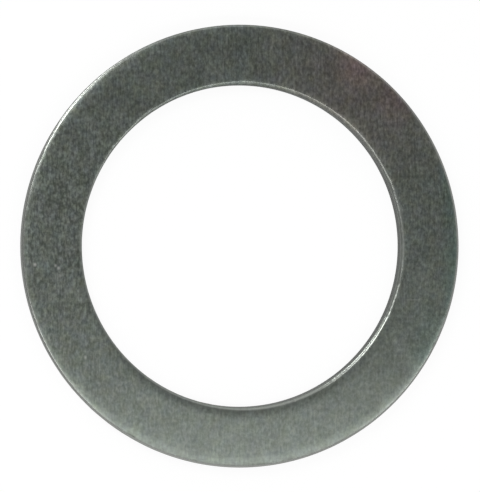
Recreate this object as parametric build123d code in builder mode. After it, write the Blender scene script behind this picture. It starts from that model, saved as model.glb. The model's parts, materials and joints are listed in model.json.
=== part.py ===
from build123d import *
import os
from math import atan2, degrees, radians, tan

# A shim ring: one flat ring blanked from cold rolled strip steel. It goes over a shaft or
# into a housing and takes up end play. Sizes are in millimetres. The ring lies flat with
# its bottom face on Z = 0 and its axis on Z.
#
# A compound die cuts the rim and the bore in the same stroke, so both edges read alike
# from the top face down: a shallow fall where the steel was drawn over the die, a rounded
# lip, an upright bright land where it was sheared, a leaning band where it cracked
# through, and a tumbled bottom corner where the burr was.

# What the ring fits
SHAFT_DIAMETER = 18.0  # the shaft inside the bore
BORE_CLEARANCE = 0.12  # across the diameter, between shaft and bore
HOUSING_DIAMETER = 25.0  # the housing around the rim
RIM_CLEARANCE = 0.10  # across the diameter, between housing and rim
THICKNESS = 1.0  # the gauge of the strip

# What the die and the tumbling barrel leave on the edges
RIM_FALL_WIDTH = 0.46  # how wide the shallow fall is, from the flat face to the lip
RIM_FALL_DEPTH = 0.025  # how far the face drops across it
RIM_LIP_RADIUS = 0.18  # the round from the fall into the land
BORE_FALL_WIDTH = 0.50
BORE_FALL_DEPTH = 0.025
BORE_LIP_RADIUS = 0.17
LAND_SHARE = 0.42  # the part of the gauge that is sheared before the steel cracks
CRACK_ANGLE = 3.0  # degrees that the cracked band leans back from the land
CORNER_RADIUS = 0.05  # of the tumbled bottom corners

bore_radius = (SHAFT_DIAMETER + BORE_CLEARANCE) / 2
rim_radius = (HOUSING_DIAMETER - RIM_CLEARANCE) / 2


def cut_edge(radius, outward, fall_width, fall_depth, lip_radius):
    """Draw one edge of the section and return its top and bottom ends.

    outward is 1 for the rim, whose steel lies inside the radius, and -1 for the bore.
    """
    # the one arc that leaves the face level, drops fall_depth and runs smoothly into the lip
    fall_radius = (fall_width**2 + fall_depth**2) / (2 * fall_depth) + lip_radius
    fall_angle = degrees(atan2(fall_width, fall_radius - fall_depth - lip_radius))

    land_foot = THICKNESS - fall_depth - lip_radius - LAND_SHARE * THICKNESS
    lean = land_foot * tan(radians(CRACK_ANGLE))

    face_end = (radius - outward * (fall_width + lip_radius), THICKNESS)
    fall = JernArc(face_end, (outward, 0), fall_radius, -outward * fall_angle)
    lip = JernArc(fall @ 1, fall % 1, lip_radius, -outward * (90 - fall_angle))
    land = Line(lip @ 1, (radius, land_foot))
    crack = Line(land @ 1, (radius - outward * lean, 0))
    return face_end, crack @ 1


with BuildPart() as shim_ring:
    with BuildSketch(Plane.XZ) as section:
        with BuildLine():
            bore_top, bore_foot = cut_edge(
                bore_radius, -1, BORE_FALL_WIDTH, BORE_FALL_DEPTH, BORE_LIP_RADIUS
            )
            rim_top, rim_foot = cut_edge(
                rim_radius, 1, RIM_FALL_WIDTH, RIM_FALL_DEPTH, RIM_LIP_RADIUS
            )
            Line(bore_top, rim_top)
            Line(bore_foot, rim_foot)
        make_face()
        fillet(section.vertices().group_by(Axis.Y)[0], CORNER_RADIUS)
    revolve(axis=Axis.Z)

shim_ring.part.label = "shim_ring"
os.makedirs("parts", exist_ok=True)
export_step(shim_ring.part, "parts/shim_ring.step")
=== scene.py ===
import json
import math

import bpy
import numpy as np
from mathutils import Matrix, Vector


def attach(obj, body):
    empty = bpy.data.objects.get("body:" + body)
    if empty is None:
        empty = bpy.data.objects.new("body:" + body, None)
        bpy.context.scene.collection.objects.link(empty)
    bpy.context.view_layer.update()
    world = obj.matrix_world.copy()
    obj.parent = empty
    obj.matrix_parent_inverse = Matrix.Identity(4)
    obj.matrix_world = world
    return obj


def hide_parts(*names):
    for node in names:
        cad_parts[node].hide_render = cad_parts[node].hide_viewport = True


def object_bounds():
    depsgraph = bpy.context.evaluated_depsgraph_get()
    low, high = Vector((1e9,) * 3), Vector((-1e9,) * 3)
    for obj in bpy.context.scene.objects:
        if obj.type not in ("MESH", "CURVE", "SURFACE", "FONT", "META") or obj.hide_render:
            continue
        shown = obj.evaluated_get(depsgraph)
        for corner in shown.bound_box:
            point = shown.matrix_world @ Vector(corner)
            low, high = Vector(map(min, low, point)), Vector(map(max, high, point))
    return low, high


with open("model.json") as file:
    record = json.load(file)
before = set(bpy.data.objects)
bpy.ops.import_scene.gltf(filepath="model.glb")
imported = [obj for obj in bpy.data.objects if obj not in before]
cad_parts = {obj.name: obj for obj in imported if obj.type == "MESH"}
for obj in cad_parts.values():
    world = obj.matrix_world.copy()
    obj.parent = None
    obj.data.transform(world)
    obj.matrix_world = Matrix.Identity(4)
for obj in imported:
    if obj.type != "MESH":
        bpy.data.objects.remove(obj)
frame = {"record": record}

cad_low, cad_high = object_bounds()

# A shim ring blanked from cold rolled strip steel, lying flat. The whole ring is one closed
# surface: its section is walked once round, and carried about the axis. Lengths are metres,
# and an azimuth is in degrees from +X towards +Y.
MM = 0.001

MOUNTS = {mount["name"]: mount for mount in frame["record"]["mounts"]}
BORE_RADIUS = MOUNTS["bore"]["dims"]["r_mm"] * MM
RIM_RADIUS = MOUNTS["rim"]["dims"]["r_mm"] * MM
THICKNESS = cad_high.z

# What the die and the barrel leave on the two edges. The swing makes the bore's lip rounder on
# one side and finer on the other, and section_walk says how it passes from one to the other
RIM_FALL_WIDTH = 0.505 * MM
RIM_LIP_RADIUS = 0.16 * MM
BORE_FALL_WIDTH = 0.44 * MM
BORE_LIP_RADIUS = 0.183 * MM
BORE_LIP_SWING = 0.058 * MM
BORE_ROUNDER_AZIMUTH = 4
BORE_ROUNDER_REACH = 0.38
BORE_ROUNDER_STEEPNESS = 2.7
FALL_DEPTH = 0.028 * MM
LAND_HEIGHT = 0.42 * THICKNESS
CRACK_ANGLE = math.radians(3.0)
CORNER_RADIUS = 0.05 * MM

# How finely the surface is cut up: columns round the ring, and rows along its section
COLUMNS = 1740
TOP_ROWS = 4
FALL_ROWS = 4
LIP_ROWS = 9
LAND_ROWS = 4
CRACK_ROWS = 5
CORNER_ROWS = 3
BOTTOM_ROWS = 2
ANGLE = np.arange(COLUMNS) * 2 * math.pi / COLUMNS

# The marks of the die and the barrel, as depth and as spacing round the ring. Three have a
# second ripple, with its spacing and its share as parts of the first's
LAND_LINES = (0.0014 * MM, 0.10 * MM, 2.5, 1.0)
LIP_WANDER = (0.002 * MM, 1.6 * MM, 0.3, 0.5)
LAND_FOOT_WANDER = (0.030 * MM, 0.9 * MM, 0.3, 0.6)
LIP_BEADS = (0.0007 * MM, 0.14 * MM)
TEARS = (0.0084 * MM, 0.12 * MM)
# How many of its lines' depths the land is set in, so that the lines cut inwards
LAND_SET_IN = 2
# The dents of the barrel: the deepest one, the ranges of their widths and strengths, and the count
NICK_DEPTH = 0.009 * MM
NICK_WIDTHS = (0.05 * MM, 0.16 * MM)
NICK_STRENGTHS = (0.2, 1.0)
NICKS_PER_EDGE = 46

# How far the barrel has burnished each lip, from 0 to 1. The burnish starts at a turn of the
# surface from level and is full once that has grown by the rise. On one side the lips lose a
# share of it, which is painted shade: it makes them darker there, and rougher
RIM_LIP_POLISH = 0.95
BORE_LIP_POLISH = 0.50
POLISH_START = math.radians(3.0)
POLISH_RISE = math.radians(13.0)
SHADED_LIPS_AZIMUTH = 82
SHADED_LIPS_SHARE = 0.82

# The finish's colours, all linear. The edge tint dims what the steel mirrors at a grazing angle
WHITE = (1, 1, 1, 1)
EDGE_TINT = (0.68, 0.68, 0.68, 1)
SKIN_DARK = (0.100, 0.113, 0.100, 1)
SKIN_BRIGHT = (0.249, 0.280, 0.249, 1)
BARE_STEEL = (0.50, 0.51, 0.48, 1)
BURNISHED = (0.31, 0.322, 0.302, 1)
LAND_DARK = (0.095, 0.10, 0.095, 1)
LAND_BRIGHT = (0.21, 0.22, 0.205, 1)
TORN_DARK = (0.120, 0.127, 0.117, 1)
TORN_BRIGHT = (0.320, 0.336, 0.311, 1)

# The lengths of each noise's bumps along X, Y and Z, and how much finer ones roughen it
GRAIN_LENGTHS = (0.115 * MM, 0.29 * MM, 0.2 * MM)
MOTTLE_LENGTHS = (0.20 * MM, 0.24 * MM, 0.2 * MM)
STREAK_LENGTHS = (0.14 * MM, 1.2 * MM, 0.2 * MM)
CLOUD_LENGTHS = (1.1 * MM, 1.5 * MM, 1.0 * MM)
DRIFT_LENGTHS = (0.60 * MM, 0.66 * MM, 0.6 * MM)
WALL_LINE_LENGTHS = (0.07 * MM, 0.07 * MM, 1.5 * MM)
NOISE_DETAIL = 2.0
MOTTLE_DETAIL = 3.0
NOISE_ROUGHNESS = 0.6

# How strongly each noise shades the skin, how far its red, green and blue drift, and how much
# the grain varies the burnish
GRAIN_SHADE = 1.15
STREAK_SHADE = 0.75
MOTTLE_SHADE = 1.2
CLOUD_SHADE = 0.70
SKIN_CONTRAST = 1.10
SHADE_POWER = 1.4
HUE_DRIFT = (0.17, 0.03, 0.40)
BURNISH_GRAIN = 0.4

# The side where the skin is worn smoother. The wear sets in at the start, counted in reaches
# from the axis, and is full one reach further out. The last three say what is lost there of
# the contrast, of the lines and of the drift of hue
WORN_AZIMUTH = -75
WORN_REACH = 6.7 * MM
WORN_START = 0.3
WORN_CONTRAST = 0.30
WORN_LINES = 0.35
WORN_HUE = 0.4

# Soft oval spots, as the middle and the half widths in millimetres on the top face: the
# coarsest patch with what it adds to the contrast, the stains with their tints, and the bare
# marks with their strengths
COARSE_PATCH = ((-10.5, 2.6), (7.0, 7.0))
COARSE_CONTRAST = 0.55
STAINS = (
    ((6.9, 9.3), (7.0, 7.0), (1.20, 0.985, 1.02, 1)),
    ((6.6, 10.4), (1.9, 1.9), (1.22, 0.99, 1.02, 1)),
    ((9.0, 8.4), (1.8, 1.8), (1.17, 0.99, 1.05, 1)),
    ((12.5, -1.4), (1.2, 6.0), (0.80, 1.04, 1.0, 1)),
    ((12.0, 3.6), (0.9, 2.4), (0.84, 1.03, 1.0, 1)),
    ((11.0, -6.2), (1.7, 3.6), (0.90, 1.03, 1.0, 1)),
)
BARE_MARKS = (
    ((-11.69, -1.03), (0.13, 0.15), 1.0),
    ((-10.54, -1.08), (0.10, 0.12), 0.7),
    ((-10.37, -1.22), (0.12, 0.12), 0.8),
    ((-10.29, -1.65), (0.12, 0.12), 0.4),
    ((-8.88, -6.19), (0.10, 0.14), 0.5),
    ((-1.13, 10.10), (0.06, 0.45), 0.4),
    ((-0.91, 11.50), (0.05, 0.60), 0.25),
    ((9.80, -3.05), (0.75, 0.05), 0.25),
)

# How rough the skin is, and what the rest adds or takes off
SKIN_ROUGHNESS = 0.335
TORN_ROUGHER = 0.20
BURNISHED_SMOOTHER = 0.085
LAND_SMOOTHER = 0.08
MOTTLE_ROUGHNESS = 0.12

# The fine relief, as shares of its depth, and the polish from which the skin's own is gone
GRAIN_RELIEF = 0.6
MOTTLE_RELIEF = 0.4
TORN_RELIEF = 2.0
MARK_RELIEF = 2.0
RELIEF_STRENGTH = 0.5
RELIEF_DEPTH = 0.004 * MM
SMOOTHED_AT = 0.2

# The card that the ring lies on: as it lights the ring, as it is seen, how much of what is
# seen is its own glow, how much of what is seen shows in metal, and half its width
CARD_GREY = (0.68, 0.68, 0.68, 1)
CARD_WHITE = (0.95, 0.95, 0.95, 1)
CARD_GLOW = 0.92
CARD_IN_METAL = 0.05
CARD_HALF = 40 * RIM_RADIUS

# The room: its even strength, and its soft glows as azimuth and brightness at one height
ROOM_STRENGTH = 0.39
WALL_GLOWS = ((90, 1.18), (270, 1.02), (0, 0.60), (180, 0.20))
GLOW_HEIGHT = 10

# The lamps. A box far left has an azimuth and a height in degrees, a size and a brightness
NEAR_STRIP_PLACE = (-0.5 * MM, -22.6 * MM, 50 * MM)
NEAR_STRIP_AIM = (0, -8 * MM, 0)
NEAR_STRIP_SIZE = (0.106, 0.0124)
NEAR_STRIP_BRIGHTNESS = 3.19
BOX_DISTANCE = 150 * MM
LEFT_BOXES = {
    "low_left_box": (130.6, 4, (0.058, 0.039), 11.2),
    "high_left_box": (137, 54.5, (0.029, 0.064), 11.6),
}

# The camera: its tilt from straight above, its distance from what it looks at, and its sensor
# and lens in millimetres
CAMERA_TILT = math.radians(8.85)
CAMERA_DISTANCE = 12 * RIM_RADIUS
CAMERA_AIM = (-0.172 * MM, 0.008 * MM, THICKNESS)
CAMERA_CLIP = (0.01, 10)
SENSOR_WIDTH = 36
LENS_LENGTH = 194.7

SEED = 31


def edge_walk(fall_width, lip_radius):
    """Walk one edge of the section from the top face down to the bottom face.

    The fall is an arc that leaves the face level and runs smoothly into the lip's arc, the
    lip runs into the upright land, the crack leans back from it in a straight line, and an
    arc turns the corner into the bottom face. The lip's radius is given for each column.
    Gives for each row and column how far it lies in from the land, its height and the turn
    of its normal from straight up, and for each row its zone.
    """
    upright = math.pi / 2
    cracked = upright + CRACK_ANGLE
    level = np.zeros(COLUMNS)
    fall_radius = (fall_width**2 + FALL_DEPTH**2) / (2 * FALL_DEPTH) + lip_radius
    fall_angle = np.arcsin(fall_width / (fall_radius - lip_radius))
    lip_centre = THICKNESS - FALL_DEPTH - lip_radius
    land_foot = lip_centre - LAND_HEIGHT
    corner_top = CORNER_RADIUS * (1 - math.sin(CRACK_ANGLE))
    corner_lean = (land_foot - CORNER_RADIUS) * math.sin(CRACK_ANGLE)
    corner_inset = (CORNER_RADIUS + corner_lean) / math.cos(CRACK_ANGLE)

    turn = np.linspace(level, fall_angle, FALL_ROWS, endpoint=False)
    inset = fall_width + lip_radius - fall_radius * np.sin(turn)
    fall = (inset, THICKNESS - fall_radius * (1 - np.cos(turn)), turn)

    turn = np.linspace(fall_angle, level + upright, LIP_ROWS, endpoint=False)
    lip = (lip_radius * (1 - np.sin(turn)), lip_centre + lip_radius * np.cos(turn), turn)

    height = np.linspace(lip_centre, land_foot, LAND_ROWS, endpoint=False)
    land = (0 * height, height, 0 * height + upright)

    height = np.linspace(land_foot, level + corner_top, CRACK_ROWS, endpoint=False)
    crack = ((land_foot - height) * math.tan(CRACK_ANGLE), height, 0 * height + cracked)

    turn = np.linspace(level + cracked, math.pi, CORNER_ROWS)
    corner = (corner_inset - CORNER_RADIUS * np.sin(turn), CORNER_RADIUS * (1 + np.cos(turn)), turn)

    stretches = (fall, lip, land, crack, corner)
    inset, height, turn = (np.concatenate(parts) for parts in zip(*stretches))
    names = ("fall", "lip", "land", "crack", "corner")
    zone = np.repeat(names, [len(stretch[0]) for stretch in stretches])
    return inset, height, turn, zone


def between(start, end, rows):
    """Evenly spaced values between two others, without the two."""
    return np.linspace(start, end, rows + 2)[1:-1]


def section_walk():
    """Walk the whole section once: down the rim's edge, back under, up the bore's edge, over the top.

    The punch stood off the die's middle, so the bore's lip is rounder on one side: its
    radius follows the cosine of the angle from that side, raised by the reach, times the
    steepness, and cut off at -1 and 1. Gives for each row and column its radius, its height
    and the turn of its normal from straight up, which is positive towards the outside and
    negative towards the bore, and for each row its zone.
    """
    rim_lip_radius = np.full(COLUMNS, RIM_LIP_RADIUS)
    rim_inset, rim_height, rim_turn, rim_zone = edge_walk(RIM_FALL_WIDTH, rim_lip_radius)
    nearness = np.cos(ANGLE - math.radians(BORE_ROUNDER_AZIMUTH))
    rounder = BORE_ROUNDER_STEEPNESS * (nearness + BORE_ROUNDER_REACH)
    bore_lip_radius = BORE_LIP_RADIUS + BORE_LIP_SWING * np.clip(rounder, -1, 1)
    bore_walk = edge_walk(BORE_FALL_WIDTH, bore_lip_radius)
    bore_inset, bore_height, bore_turn, bore_zone = (part[::-1] for part in bore_walk)
    rim_radius = RIM_RADIUS - rim_inset
    bore_radius = BORE_RADIUS + bore_inset

    bottom_radius = between(rim_radius[-1], bore_radius[0], BOTTOM_ROWS)
    top_radius = between(bore_radius[-1], rim_radius[0], TOP_ROWS)
    level = 0 * bottom_radius
    flat = 0 * top_radius

    radius = np.concatenate([rim_radius, bottom_radius, bore_radius, top_radius])
    height = np.concatenate([rim_height, level, bore_height, flat + THICKNESS])
    turn = np.concatenate([rim_turn, level + math.pi, -bore_turn, flat])
    bottom_zone = np.repeat("bottom", BOTTOM_ROWS)
    top_zone = np.repeat("top", TOP_ROWS)
    zone = np.concatenate([rim_zone, bottom_zone, bore_zone, top_zone])
    return radius, height, turn, zone


def ripple(random, spacing, rows=1):
    """Even noise round the ring, about one bump each spacing, with a mean square of 1.

    White noise on every column is blurred by a Gaussian in the Fourier domain, so it closes
    on itself without a seam.
    """
    white = random.standard_normal((rows, COLUMNS))
    cycles = np.fft.rfftfreq(COLUMNS, 1 / COLUMNS)
    step = spacing / (2 * math.pi * RIM_RADIUS)
    blurred = np.fft.irfft(np.fft.rfft(white) * np.exp(-2 * (cycles * step) ** 2), COLUMNS)
    return blurred / blurred.std()


def double_ripple(random, spacing, second_spacing, second_share):
    """A ripple and a share of a second one, whose spacing is given as a part of the first's."""
    return ripple(random, spacing) + second_share * ripple(random, second_spacing * spacing)


def nicks(random):
    """Dents of the barrel from 0 to 1: the deepest of a set of Gaussian dips at random places.

    A dip's depth is the square of its strength, so that few of them are deep.
    """
    place = random.uniform(0, 2 * math.pi, (NICKS_PER_EDGE, 1))
    width = random.uniform(*NICK_WIDTHS, (NICKS_PER_EDGE, 1)) / RIM_RADIUS
    strength = random.uniform(*NICK_STRENGTHS, (NICKS_PER_EDGE, 1))
    away = np.abs((ANGLE - place + math.pi) % (2 * math.pi) - math.pi)
    return (strength**2 * np.exp(-((away / width) ** 2))).max(axis=0)


def edge_marks(random, zone, height, depth, slide):
    """Cut one edge's marks into depth and slide, on the rows whose zones are given.

    The lip wanders slowly, by the square of a ripple, and is beaded and dented, most at its
    middle. The land has fine upright lines, and the crack is torn between them. The land's
    foot, which is the crack's highest row, slides up and down.
    """
    lip, land, crack = (zone == name for name in ("lip", "land", "crack"))
    lines = double_ripple(random, *LAND_LINES[1:])
    wander = double_ripple(random, *LIP_WANDER[1:])
    beads = ripple(random, LIP_BEADS[1])
    foot = double_ripple(random, *LAND_FOOT_WANDER[1:])
    tears = np.abs(ripple(random, TEARS[1], rows=crack.sum()))

    along_lip = LIP_WANDER[0] * wander**2 + LIP_BEADS[0] * beads + NICK_DEPTH * nicks(random)
    swell = np.sin(between(0, math.pi, lip.sum())).reshape(-1, 1)
    depth[lip] = swell * along_lip
    depth[land] = LAND_LINES[0] * (lines + LAND_SET_IN)
    depth[crack] = TEARS[0] * tears + LAND_LINES[0] * lines
    foot_row = np.argmax(np.where(crack, height[:, 0], -1))
    slide[foot_row] = LAND_FOOT_WANDER[0] * foot


def ring_surface():
    """Carry the section about the axis and cut the marks of the die and the barrel into it.

    A point is (r cos a, r sin a, z) at the angle a, with r and z from the section. It then
    goes inwards along the section's normal by the depth of the marks there, and the foot of
    the land slides up or down. A lip's polish sets in as the surface turns away from level.
    Of that, one side loses a share times what twice the cosine of the angle from it has above
    1, so none is lost from 60 degrees on: this is painted shade, which darkens the lips there
    and leaves them rougher. Gives the points and, from 0 to 1, how polished each one is, with
    that painted shade in it, and whether it is on the land or torn.
    """
    random = np.random.default_rng(SEED)
    radius, height, turn, zone = section_walk()
    depth, slide, polish_and_shade = np.zeros((3, *turn.shape))

    # Painted shade: the lips facing this way keep less polish, so they come out darker
    nearness = np.cos(ANGLE - math.radians(SHADED_LIPS_AZIMUTH))
    painted_shade_factor = 1 - SHADED_LIPS_SHARE * np.clip(2 * nearness - 1, 0, 1)
    sides = ((turn[:, 0] > 0, RIM_LIP_POLISH), (turn[:, 0] < 0, BORE_LIP_POLISH))
    for side, lip_polish in sides:
        side_zone = np.where(side, zone, "")
        edge_marks(random, side_zone, height, depth, slide)
        lip = side_zone == "lip"
        rise = np.clip((np.abs(turn[lip]) - POLISH_START) / POLISH_RISE, 0, 1)
        polish_and_shade[lip] = lip_polish * painted_shade_factor * rise
    land, torn = (np.outer(zone == name, np.ones(COLUMNS)) for name in ("land", "crack"))

    depth = np.maximum(depth, 0)
    r = radius - depth * np.sin(turn)
    z = height - depth * np.cos(turn) + slide
    points = np.stack([r * np.cos(ANGLE), r * np.sin(ANGLE), z], axis=-1)
    return points, {"polish_and_shade": polish_and_shade, "land": land, "torn": torn}


def strip_map():
    """Lay the surface out in three strips, one above the other, each a third of the way round.

    Across a strip goes the angle, and up it the distance walked along the section.
    """
    strips = 3
    margin = 0.004
    radius, height = (part[:, 0] for part in section_walk()[:2])
    gap_r = np.diff(np.append(radius, radius[0]))
    gap_z = np.diff(np.append(height, height[0]))
    walked = np.concatenate([[0], np.cumsum(np.hypot(gap_r, gap_z))])
    walked /= walked[-1]
    per_strip = math.ceil(COLUMNS / strips)
    strip, place = np.divmod(np.arange(COLUMNS), per_strip)
    left = 1 - (place + 1) / per_strip
    right = 1 - place / per_strip
    low = walked[:-1]
    high = walked[1:]
    u = np.stack([right, right, left, left], axis=-1)[None]
    v = np.stack([low, high, high, low], axis=-1)[:, None]
    u = margin + (1 - 2 * margin) * u
    v = (strip[None, :, None] + margin + (1 - 2 * margin) * v) / strips
    return np.stack(np.broadcast_arrays(u, v), axis=-1)


def make_ring(finish):
    """Join the grid's points into four-sided faces that close both ways, facing outwards."""
    points, attributes = ring_surface()
    number = np.arange(points[..., 0].size).reshape(points.shape[:2])
    beside = np.roll(number, -1, axis=1)
    below = np.roll(number, -1, axis=0)
    across = np.roll(below, -1, axis=1)
    faces = np.stack([number, below, across, beside], axis=-1).reshape(-1, 4)

    mesh = bpy.data.meshes.new("ring_surface")
    mesh.from_pydata(points.reshape(-1, 3), [], faces)
    mesh.polygons.foreach_set("use_smooth", np.ones(len(faces), bool))
    for name, values in attributes.items():
        mesh.attributes.new(name, "FLOAT", "POINT").data.foreach_set("value", values.ravel())
    layout = mesh.uv_layers.new(name="OFBake")
    layout.data.foreach_set("uv", strip_map().ravel())
    mesh.materials.append(finish)
    mesh.update()
    ring = bpy.data.objects.new("steel_ring", mesh)
    bpy.context.scene.collection.objects.link(ring)
    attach(ring, "root")
    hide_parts("shim_ring")


class Value:
    """An output socket of a node tree. Sums, differences and products of it add Math nodes."""

    def __init__(self, socket):
        self.socket = socket

    @classmethod
    def node(cls, tree, kind, settings=None, sockets=None, output=0):
        """Add any node: its settings first, then its sockets' values or links."""
        made = tree.nodes.new(kind)
        for name, setting in (settings or {}).items():
            setattr(made, name, setting)
        for name, value in (sockets or {}).items():
            if isinstance(value, Value):
                tree.links.new(value.socket, made.inputs[name])
            else:
                made.inputs[name].default_value = value
        return cls(made.outputs[output]) if made.outputs else None

    def math(self, operation, *values, clamp=False):
        """A Math node on numbers, in this value's tree."""
        settings = {"operation": operation, "use_clamp": clamp}
        sockets = dict(enumerate(values))
        return Value.node(self.socket.id_data, "ShaderNodeMath", settings, sockets)

    def vector(self, operation, *values, output="Vector"):
        """A Vector Math node on this vector or colour and others."""
        sockets = dict(enumerate((self, *values)))
        settings = {"operation": operation}
        return Value.node(self.socket.id_data, "ShaderNodeVectorMath", settings, sockets, output)

    def __add__(self, other):
        return self.math("ADD", self, other)

    def __radd__(self, other):
        return self.math("ADD", other, self)

    def __sub__(self, other):
        return self.math("SUBTRACT", self, other)

    def __rsub__(self, other):
        return self.math("SUBTRACT", other, self)

    def __mul__(self, other):
        return self.math("MULTIPLY", self, other)

    def __rmul__(self, other):
        return self.math("MULTIPLY", other, self)

    def clamped(self):
        """This value, cut off at 0 and at 1."""
        return self.math("ADD", self, 0.0, clamp=True)

    def mix(self, low, high):
        """The colour low where this value is 0, and high where it is 1."""
        # Among a Mix node's sockets 6 and 7 are its two colours, and its output 2 is the mixed one
        settings = {"data_type": "RGBA", "clamp_factor": True}
        sockets = {0: self, 6: low, 7: high}
        return Value.node(self.socket.id_data, "ShaderNodeMix", settings, sockets, output=2)


def blank_tree(name, kind=bpy.data.materials):
    """A new material or world without nodes, and its node tree."""
    made = kind.new(name)
    made.use_nodes = True
    made.node_tree.nodes.clear()
    return made, made.node_tree


def direction(azimuth, height):
    """The unit vector at an azimuth and a height above the floor, both in degrees."""
    azimuth, height = math.radians(azimuth), math.radians(height)
    level = math.cos(height)
    return Vector((level * math.cos(azimuth), level * math.sin(azimuth), math.sin(height)))


def stretched(place, lengths, detail=NOISE_DETAIL, output="Fac"):
    """Noise about 0.5 whose bumps are as long as lengths says along X, Y and Z."""
    scaled = place.vector("MULTIPLY", [1 / length for length in lengths])
    sockets = {"Vector": scaled, "Scale": 1.0, "Detail": detail, "Roughness": NOISE_ROUGHNESS}
    return Value.node(place.socket.id_data, "ShaderNodeTexNoise", None, sockets, output)


def spot(place, centre, size):
    """A soft oval spot on the top face: 1 at its centre, falling evenly to 0 at its border.

    It reaches one thickness down.
    """
    from_centre = place.vector("SUBTRACT", (centre[0] * MM, centre[1] * MM, THICKNESS))
    scale = (1 / (size[0] * MM), 1 / (size[1] * MM), 1 / THICKNESS)
    away = from_centre.vector("MULTIPLY", scale)
    return (1.0 - away.vector("LENGTH", output="Value")).clamped()


def rolled_skin(place, grain, mottle):
    """The strip's own skin: lines along Y and specks, worn on one side, drifts of hue and stains."""
    streaks = stretched(place, STREAK_LENGTHS)
    cloud = stretched(place, CLOUD_LENGTHS)
    lines = GRAIN_SHADE * (grain - 0.5) + STREAK_SHADE * (streaks - 0.5)
    specks = MOTTLE_SHADE * (mottle - 0.5) + CLOUD_SHADE * (cloud - 0.5)
    towards_worn = direction(WORN_AZIMUTH, 0) / WORN_REACH
    worn = (place.vector("DOT_PRODUCT", towards_worn, output="Value") - WORN_START).clamped()
    coarse = spot(place, *COARSE_PATCH)
    contrast = SKIN_CONTRAST - WORN_CONTRAST * worn + COARSE_CONTRAST * coarse
    shade = (0.5 + contrast * (specks + (1.0 - WORN_LINES * worn) * lines)).clamped()
    shade = shade.math("POWER", shade, SHADE_POWER)
    colour = shade.mix(SKIN_DARK, SKIN_BRIGHT)

    drift = stretched(place, DRIFT_LENGTHS, output="Color")
    least = [1 - amount / 2 for amount in HUE_DRIFT]
    tinted = colour.vector("MULTIPLY", drift.vector("MULTIPLY_ADD", HUE_DRIFT, least))
    colour = (WORN_HUE * worn).mix(tinted, colour)
    for centre, size, tint in STAINS:
        colour = colour.vector("MULTIPLY", spot(place, centre, size).mix(WHITE, tint))
    return colour


def steel():
    """Cold rolled strip steel: grained skin with bare marks, burnished lips with painted shade on one
    side, dark lands, torn bands.
    """
    material, tree = blank_tree("rolled_strip_steel")
    place = Value.node(tree, "ShaderNodeTexCoord", output="Object")
    polish_and_shade, land, torn = (
        Value.node(tree, "ShaderNodeAttribute", {"attribute_name": name}, output="Fac")
        for name in ("polish_and_shade", "land", "torn")
    )
    grain = stretched(place, GRAIN_LENGTHS)
    mottle = stretched(place, MOTTLE_LENGTHS, detail=MOTTLE_DETAIL)
    wall_lines = stretched(place, WALL_LINE_LENGTHS)

    marks = 0.0
    for centre, size, strength in BARE_MARKS:
        marks = strength * spot(place, centre, size) + marks
    colour = marks.clamped().mix(rolled_skin(place, grain, mottle), BARE_STEEL)
    # The burnish also carries the painted shade that darkens the lips on one side
    burnish_and_shade = (polish_and_shade * (1.0 + BURNISH_GRAIN * (grain - 0.5))).clamped()
    colour = burnish_and_shade.mix(colour, BURNISHED)
    colour = land.mix(colour, wall_lines.mix(LAND_DARK, LAND_BRIGHT))
    colour = torn.mix(colour, mottle.mix(TORN_DARK, TORN_BRIGHT))

    skin_share = (1.0 - 1 / SMOOTHED_AT * polish_and_shade).clamped() * (1.0 - torn)
    roughness = SKIN_ROUGHNESS + TORN_ROUGHER * torn
    roughness = roughness - BURNISHED_SMOOTHER * polish_and_shade - LAND_SMOOTHER * land
    roughness = roughness + MOTTLE_ROUGHNESS * skin_share * (mottle - 0.5)
    relief = skin_share * (GRAIN_RELIEF * grain + MOTTLE_RELIEF * mottle)
    relief = relief + TORN_RELIEF * torn * mottle - MARK_RELIEF * marks
    bump_sockets = {"Strength": RELIEF_STRENGTH, "Distance": RELIEF_DEPTH, "Height": relief}
    bump = Value.node(tree, "ShaderNodeBump", sockets=bump_sockets)
    sockets = {"Base Color": colour, "Metallic": 1.0, "Roughness": roughness, "Normal": bump}
    sockets["Specular Tint"] = EDGE_TINT
    surface = Value.node(tree, "ShaderNodeBsdfPrincipled", sockets=sockets)
    Value.node(tree, "ShaderNodeOutputMaterial", sockets={"Surface": surface})
    return material


def white_card():
    """Matt white card that shines white where it is seen straight or through glass.

    It shines a little in metal too. A small part of what is seen stays matt, so that the card
    keeps the ring's shadow. The sockets of a Mix Shader are its share, its first shader and
    its second.
    """
    material, tree = blank_tree("white_card")
    card = Value.node(tree, "ShaderNodeBsdfDiffuse", sockets={"Color": CARD_GREY})
    paper = Value.node(tree, "ShaderNodeBsdfDiffuse", sockets={"Color": CARD_WHITE})
    glow = Value.node(tree, "ShaderNodeEmission", sockets={"Color": WHITE})
    shining = Value.node(tree, "ShaderNodeMixShader", sockets={0: CARD_GLOW, 1: paper, 2: glow})
    seen = Value.node(tree, "ShaderNodeLightPath", output="Is Camera Ray")
    glossy = Value.node(tree, "ShaderNodeLightPath", output="Is Glossy Ray")
    through = Value.node(tree, "ShaderNodeLightPath", output="Is Transmission Ray")
    share = (seen + CARD_IN_METAL * glossy + through).clamped()
    surface = Value.node(tree, "ShaderNodeMixShader", sockets={0: share, 1: card, 2: shining})
    Value.node(tree, "ShaderNodeOutputMaterial", sockets={"Surface": surface})
    return material


def lay_floor(finish):
    """A flat square, much wider than the ring, that the ring lies on."""
    mesh = bpy.data.meshes.new("floor_surface")
    signs = ((-1, -1), (1, -1), (1, 1), (-1, 1))
    corners = [(x * CARD_HALF, y * CARD_HALF, 0) for x, y in signs]
    mesh.from_pydata(corners, [], [(0, 1, 2, 3)])
    mesh.materials.append(finish)
    floor = bpy.data.objects.new("floor", mesh)
    bpy.context.scene.collection.objects.link(floor)


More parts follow.
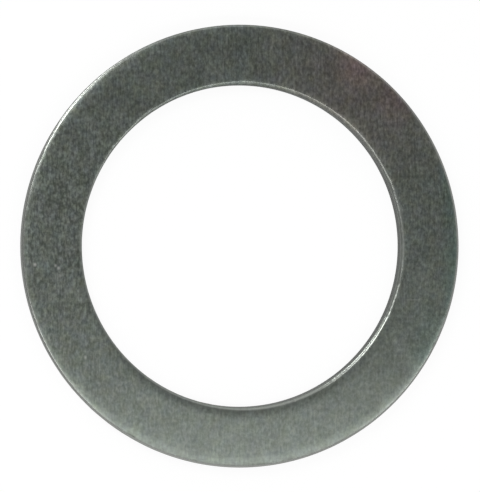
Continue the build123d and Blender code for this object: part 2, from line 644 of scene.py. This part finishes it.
def hang_lamp(name, place, aim, size, brightness):
    """A soft box at a place, turned to shine at aim.

    Its energy is its brightness times pi times its area.
    """
    lamp = bpy.data.lights.new(name, "AREA")
    lamp.shape = "RECTANGLE"
    lamp.size, lamp.size_y = size
    lamp.energy = brightness * math.pi * lamp.size * lamp.size_y
    box = bpy.data.objects.new(name, lamp)
    box.location = place
    box.rotation_euler = (Vector(aim) - Vector(place)).to_track_quat("-Z", "Y").to_euler()
    box.visible_camera = False
    bpy.context.scene.collection.objects.link(box)


def light_up():
    """An even room with soft glows low on its walls, a strip near by and two boxes far left.

    A glow's strength is its brightness times what twice the cosine of the angle from its
    middle has above 1, so it ends 60 degrees away.
    """
    world, tree = blank_tree("room", bpy.data.worlds)
    towards = Value.node(tree, "ShaderNodeTexCoord", output="Generated")
    strength = ROOM_STRENGTH
    for azimuth, brightness in WALL_GLOWS:
        middle = direction(azimuth, GLOW_HEIGHT)
        nearness = towards.vector("DOT_PRODUCT", middle, output="Value")
        strength = strength + brightness * (2.0 * nearness - 1.0).clamped()
    glow = Value.node(tree, "ShaderNodeBackground", sockets={"Strength": strength})
    Value.node(tree, "ShaderNodeOutputWorld", sockets={"Surface": glow})
    bpy.context.scene.world = world

    centre = (0, 0, 0)
    hang_lamp("near_strip", NEAR_STRIP_PLACE, NEAR_STRIP_AIM, NEAR_STRIP_SIZE, NEAR_STRIP_BRIGHTNESS)
    for name, (azimuth, height, size, brightness) in LEFT_BOXES.items():
        hang_lamp(name, BOX_DISTANCE * direction(azimuth, height), centre, size, brightness)


def set_camera():
    """Look down on the ring from afar, a little from the left, with +Y upwards."""
    lens = bpy.data.cameras.new("camera")
    lens.sensor_width = SENSOR_WIDTH
    lens.lens = LENS_LENGTH
    lens.clip_start, lens.clip_end = CAMERA_CLIP
    camera = bpy.data.objects.new("camera", lens)
    up = Vector((0, 1, 0))
    back = Vector((-math.sin(CAMERA_TILT), 0, math.cos(CAMERA_TILT)))
    turned = Matrix((up.cross(back), up, back)).transposed().to_4x4()
    camera.matrix_world = Matrix.Translation(Vector(CAMERA_AIM) + CAMERA_DISTANCE * back) @ turned
    bpy.context.scene.collection.objects.link(camera)
    bpy.context.scene.camera = camera


make_ring(steel())
lay_floor(white_card())
light_up()
set_camera()
bpy.context.scene.view_settings.view_transform = "Standard"
